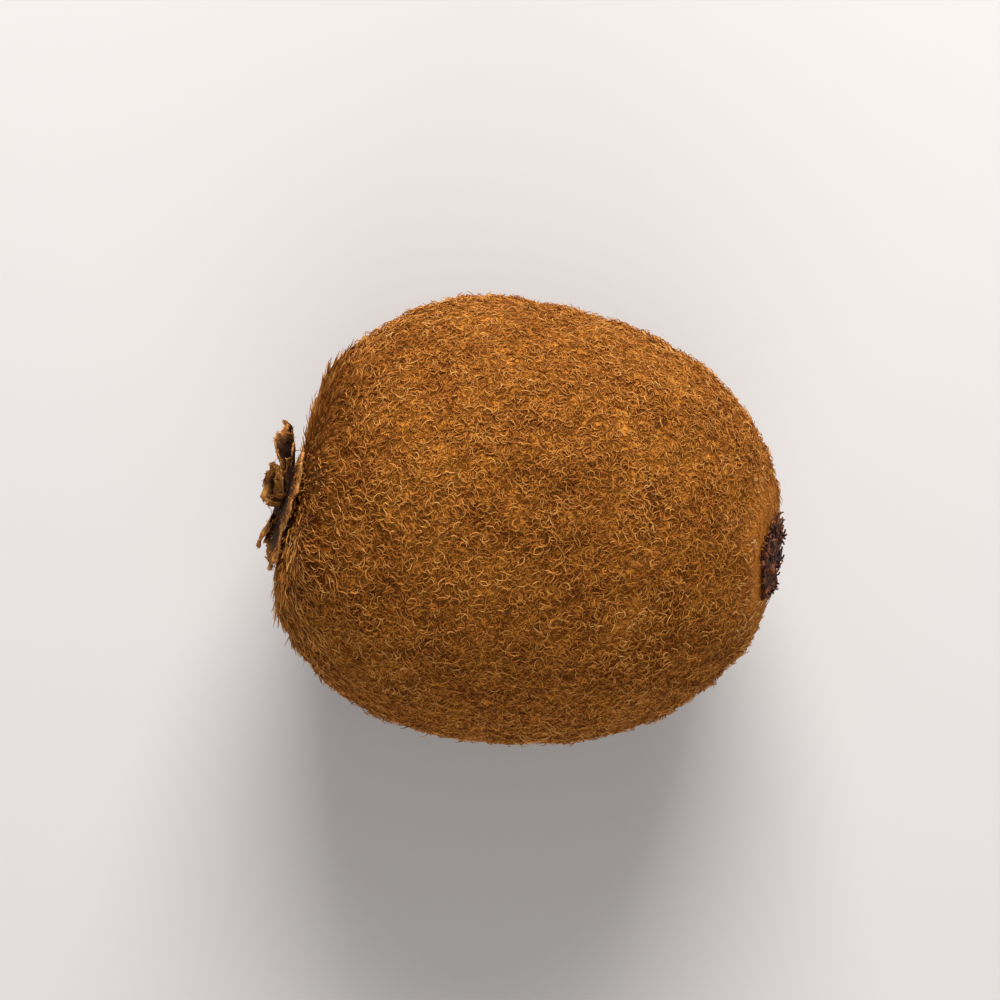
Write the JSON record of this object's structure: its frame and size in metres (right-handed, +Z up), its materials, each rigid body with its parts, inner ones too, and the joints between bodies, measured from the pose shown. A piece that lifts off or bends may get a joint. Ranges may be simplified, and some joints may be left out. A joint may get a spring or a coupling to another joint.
{
  "type": "kiwi fruit",
  "caption": "Whole brown kiwi fruit lying on its side, with a dried calyx at the stem end and a withered remnant of the flower at the other end.",
  "frame": {"origin": "on the small flat that the fruit rests on, under the middle of its length and width", "axes": "+X from the stem end to the blossom end, +Z up from the surface that the fruit lies on, +Y across"},
  "size_m": [0.0723, 0.0597, 0.0541],
  "materials": {
    "skin": "brown skin under short dense hairs, matt",
    "dried_sepal": "dry, crumpled, matt",
    "withered_style": "dry, near black, faintly glossy"
  },
  "bodies": {
    "root": {"kiwi_fruit": "skin", "calyx": "dried_sepal", "blossom_remnant": "withered_style"}
  },
  "joints": []
}
